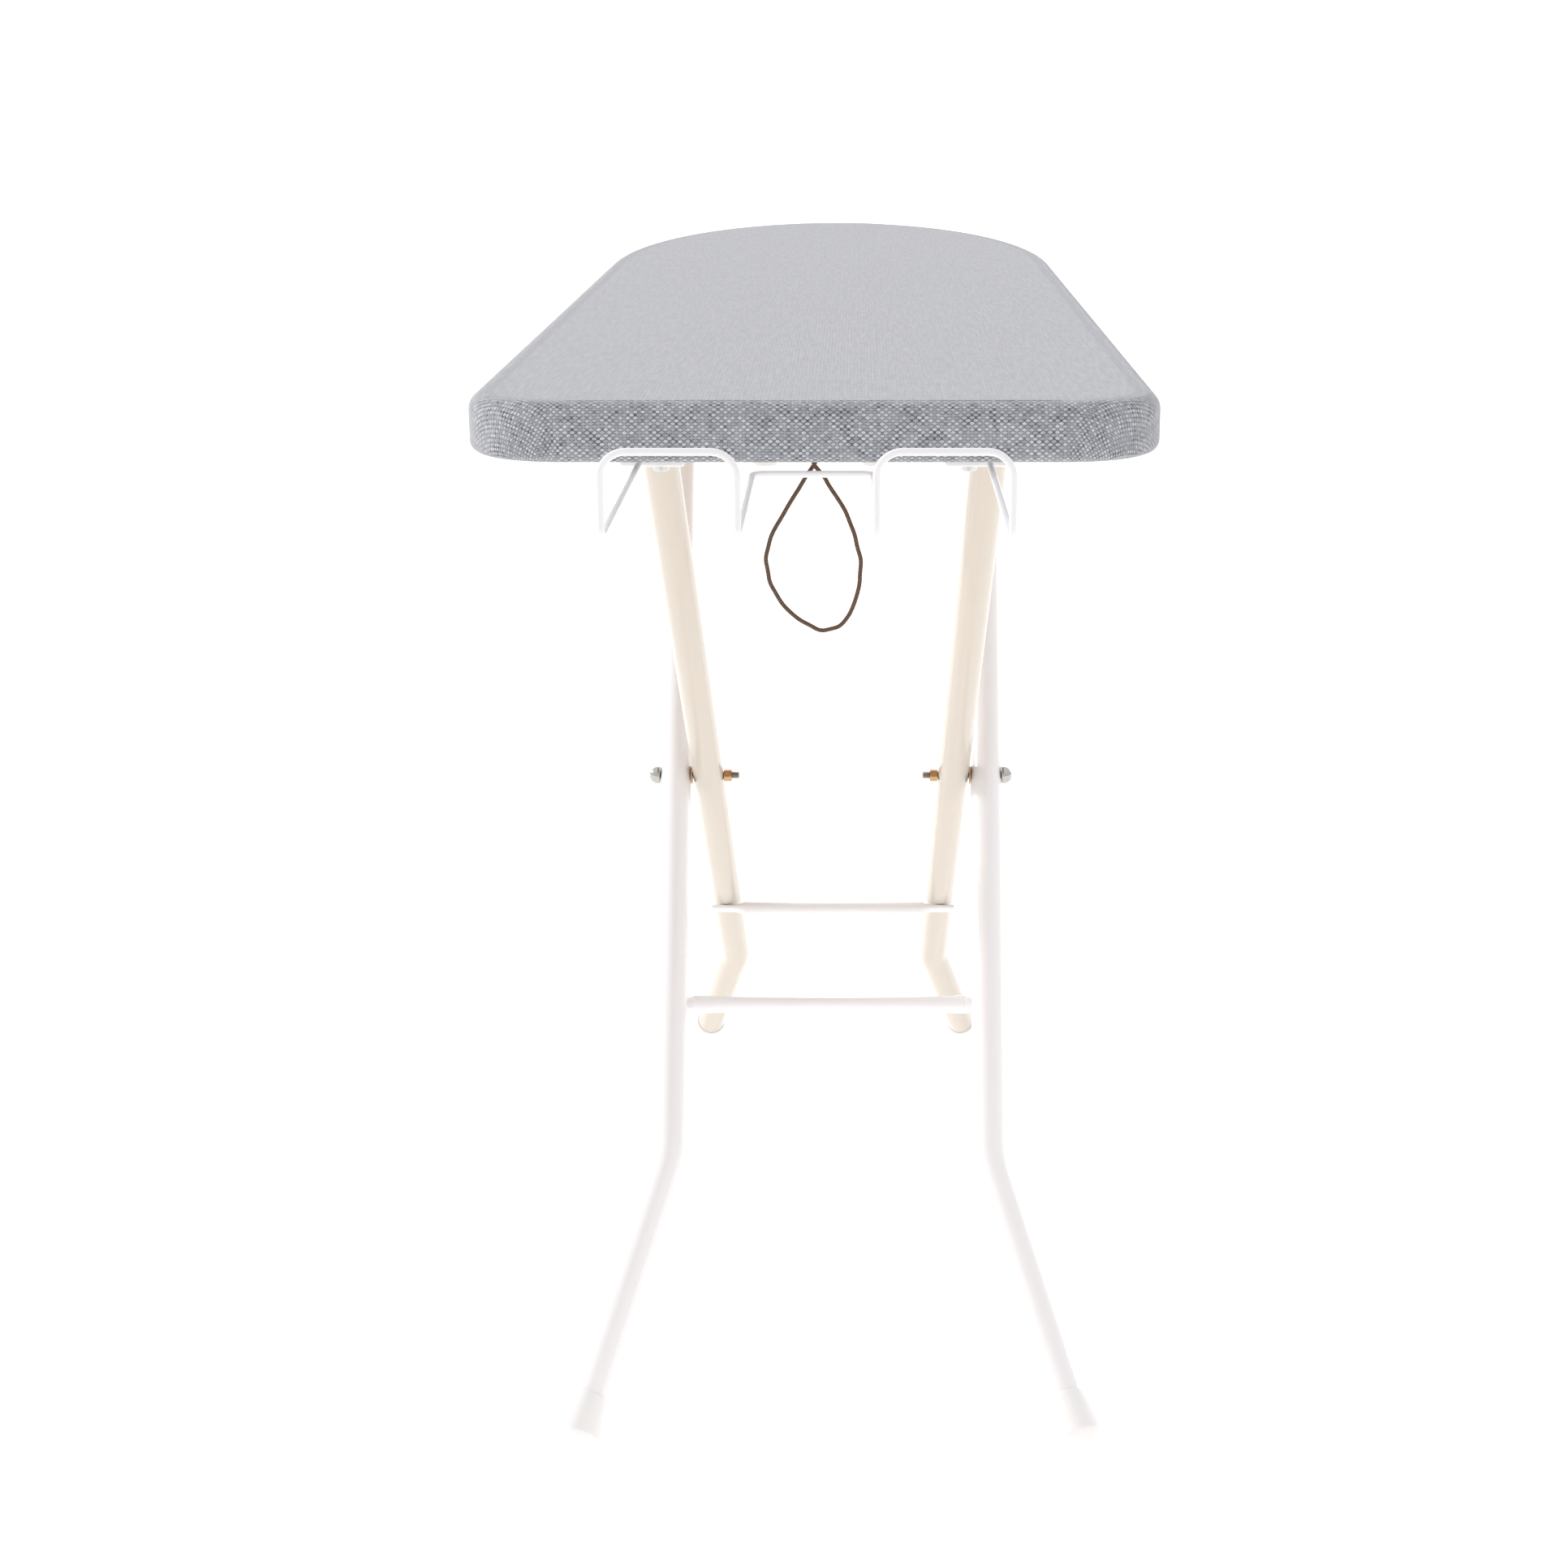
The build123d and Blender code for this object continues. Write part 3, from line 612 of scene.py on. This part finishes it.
# ---- pivot hardware ---------------------------------------------------------------------------
def revolved(name, rows, around, caps=True):
    """A closed skin round the X axis through the pivot; rows are (x, radius at an angle) functions."""
    verts, faces = [], []
    for x, radius_at in rows:
        for i in range(around):
            turn = 2 * math.pi * i / around
            radius = radius_at(turn)
            verts.append((x, radius * math.cos(turn), radius * math.sin(turn)))
    count = len(rows)
    for k in range(count - 1):
        for i in range(around):
            j = (i + 1) % around
            low, high = k * around, (k + 1) * around
            faces.append((low + i, low + j, high + j, high + i))
    if caps:
        faces.append(tuple(range(around))[::-1])
        faces.append(tuple((count - 1) * around + i for i in range(around)))
    return mesh_from(name, verts, faces)


def to_pivot(mesh, sign):
    """Moves a mesh made round the X axis to its side of the pivot; the left one is turned, not mirrored."""
    turn = Matrix.Rotation(0.0 if sign > 0 else math.pi, 4, "Z")
    mesh.transform(Matrix.Translation((0, PIVOT_Y, PIVOT_Z)) @ turn)


def make_bolt(side, sign):
    """A pivot bolt: threaded tip, plain shank, and a head with a rim and a dome."""
    low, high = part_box(f"pivot_bolt_{side}")
    inner = min(abs(low.x), abs(high.x))
    outer = max(abs(low.x), abs(high.x))
    head_height = 7.8 * MM
    head_radius = (high.z - low.z) / 2
    rim_height, rim_bevel = 1.6 * MM, 0.3 * MM
    shank, tip_bevel = 2.5 * MM, 0.7 * MM
    pitch = 0.8 * MM
    thread_depth = 0.42 * MM
    thread_end = inner + 17 * MM
    head_start = outer - head_height
    tip = 0.1 * MM
    thread_steps, dome_steps = 190, 22
    rows = [(inner, lambda turn: tip), (inner, lambda turn: shank - tip_bevel)]
    for i in range(thread_steps + 1):
        x = inner + tip + (thread_end - inner) * i / thread_steps

        def thread(turn, x=x):
            phase = (x / pitch - turn / (2 * math.pi)) % 1.0
            groove = thread_depth * abs(2 * phase - 1)
            start = min(1.0, (x - inner) / pitch)
            run_out = max(0.0, min(1.0, (thread_end - x) / pitch))
            return shank - groove * run_out - (1 - start) * 0.5 * MM * (1 - start)

        rows.append((x, thread))
    rows += [(head_start, lambda turn: shank), (head_start, lambda turn: head_radius - rim_bevel)]
    rows += [(head_start + rise, lambda turn: head_radius) for rise in (rim_bevel, rim_height)]
    for i in range(1, dome_steps):
        turned = i / dome_steps * math.pi / 2
        radius = head_radius * math.cos(turned)
        x = head_start + rim_height + (head_height - rim_height) * math.sin(turned)
        rows.append((x, lambda turn, radius=radius: radius))
    mesh = revolved(f"bolt_{side}", rows, 72)
    mesh.materials.append(materials["chrome"])
    mesh.materials.append(thread_metal)
    for polygon in mesh.polygons:
        polygon.material_index = int(polygon.center.x < head_start)
    cut_recess(mesh, outer)
    to_pivot(mesh, sign)
    add_piece(f"bolt_{side}", mesh, "outer_leg", "chrome", f"pivot_bolt_{side}")


def cut_recess(mesh, outer):
    """Presses a cross recess into the bolt's dome."""
    arm, half, depth = 2.6 * MM, 0.55 * MM, 1.5 * MM
    reach, wall = 2.4 * MM, 0.25 * MM  # how far down the dome it may press, and how fast its walls fall
    for vertex in mesh.vertices:
        x, y, z = vertex.co
        if x < outer - reach:
            continue
        near = min(max(abs(y) - half, abs(z) - arm, 0.0), 1.0)
        other = min(max(abs(z) - half, abs(y) - arm, 0.0), 1.0)
        away = min(near, other) / wall
        vertex.co.x -= depth * max(0.0, 1 - away)


def make_nut(side, sign):
    """A pivot nut: a hexagon with its corners rounded off at both faces, and a chamfered bore."""
    low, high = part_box(f"pivot_nut_{side}")
    inner = min(abs(low.x), abs(high.x))
    outer = max(abs(low.x), abs(high.x))
    flats = 4.0 * MM
    bore, bore_chamfer, bore_depth = 2.55 * MM, 0.25 * MM, 1.2 * MM
    corner = 4.25 * MM
    steps = 5

    def hexagon(limit):
        def radius_at(turn):
            within = (turn % (math.pi / 3)) - math.pi / 6
            return min(flats / math.cos(within), limit)

        return radius_at

    def corner_row(face, way, share):
        """A ring just inside a face: share 0 is on the face, 1 is where the full corners begin."""
        return face + way * 0.55 * MM * share**1.5, hexagon(corner - 0.32 * MM + 0.75 * MM * share)

    rows = [(inner + bore_depth, lambda turn: bore), (inner, lambda turn: bore + bore_chamfer)]
    rows += [corner_row(inner, 1, i / steps) for i in range(steps + 1)]
    rows += [corner_row(outer, -1, 1 - i / steps) for i in range(steps + 1)]
    rows += [(outer, lambda turn: bore + bore_chamfer), (outer - bore_depth, lambda turn: bore)]
    rows.append(rows[0])
    mesh = revolved(f"nut_{side}", rows, 96, caps=False)
    to_pivot(mesh, sign)
    piece = add_piece(f"nut_{side}", mesh, "outer_leg", "zinc", f"pivot_nut_{side}")
    sharpen(piece)


def sharpen(piece, angle=30):
    """Flat faces stay flat: splits the shading at edges that turn more than the angle."""
    edges = bmesh.new()
    edges.from_mesh(piece.data)
    for edge in edges.edges:
        edge.smooth = edge.calc_face_angle(0.0) < math.radians(angle)
    edges.to_mesh(piece.data)
    edges.free()


make_cover()
make_foam()
make_drawcord()
for side, sign in (("left", -1), ("right", 1)):
    make_bolt(side, sign)
    make_nut(side, sign)


# ---- floor, sky and lights --------------------------------------------------------------------
def stage_card(name, corners, material_name, colour, lift=0.0, **glow):
    """A flat card of one matt colour, for the floor, backdrop and flag."""
    mesh = mesh_from(name, corners, [(0, 1, 2, 3)])
    card = bpy.data.objects.new(name, mesh)
    bpy.context.scene.collection.objects.link(card)
    card.location.z = lift
    mesh.materials.append(Nodes(material_name).finish(colour, 0.9, None, **glow))


def make_floor():
    """A white floor that glows a little, so that it stays white under the board."""
    corners = [(-30, -30, 0), (30, -30, 0), (30, 30, 0), (-30, 30, 0)]
    glow = {"Emission_Color": (1.0, 0.975, 0.945, 1), "Emission_Strength": 0.42}
    stage_card("floor", corners, "floor_pale", (0.86, 0.85, 0.83), -0.2 * MM, **glow)


def make_sky():
    """A studio that is brightest above, behind and to the left, and dimmest in front and on the right."""
    world = bpy.data.worlds.new("studio")
    bpy.context.scene.world = world
    world.use_nodes = True
    tree = world.node_tree
    coordinates = tree.nodes.new("ShaderNodeTexCoord")
    toward = tree.nodes.new("ShaderNodeVectorMath")
    toward.operation = "DOT_PRODUCT"
    toward.inputs[1].default_value = (-0.45, 0.50, 0.74)
    share = tree.nodes.new("ShaderNodeMapRange")
    share.inputs["From Min"].default_value = -0.7
    ramp = tree.nodes.new("ShaderNodeValToRGB")
    ramp.color_ramp.elements[0].color = (0.78, 0.765, 0.765, 1)
    ramp.color_ramp.elements[1].color = (1.0, 1.0, 1.02, 1)
    background = tree.nodes["Background"]
    background.inputs["Strength"].default_value = 1.0
    tree.links.new(coordinates.outputs["Generated"], toward.inputs[0])
    tree.links.new(toward.outputs["Value"], share.inputs["Value"])
    tree.links.new(share.outputs[0], ramp.inputs["Fac"])
    tree.links.new(ramp.outputs["Color"], background.inputs["Color"])


def make_backdrop():
    """A white card far behind, so the picture stays white above the floor's edge."""
    corners = [(-30, 25, -1), (30, 25, -1), (30, 25, 9), (-30, 25, 9)]
    glow = {"Emission_Color": (1, 1, 1, 1), "Emission_Strength": 1.1}
    stage_card("backdrop", corners, "backdrop_white", (0.8, 0.8, 0.8), **glow)


def make_sun():
    """A soft key from the left, above and a little behind: a bright band down the left of every tube."""
    data = bpy.data.lights.new("key", "SUN")
    data.energy = 1.5
    data.angle = math.radians(14)
    data.color = (1.0, 0.985, 0.95)
    sun = bpy.data.objects.new("key", data)
    bpy.context.scene.collection.objects.link(sun)
    sun.rotation_euler = Vector((-0.86, 0.30, 0.40)).to_track_quat("Z", "Y").to_euler()


def make_flag():
    """A dim card on the floor, out of the picture, that the bright metal mirrors in its lower half."""
    corners = [(-0.45, -2.4, 0), (0.45, -2.4, 0), (0.45, -1.35, 0), (-0.45, -1.35, 0)]
    stage_card("flag", corners, "flag_dim", (0.10, 0.095, 0.075), 1 * MM)


make_floor()
make_sky()
make_backdrop()
make_sun()
make_flag()
bpy.context.scene.view_settings.view_transform = "Standard"
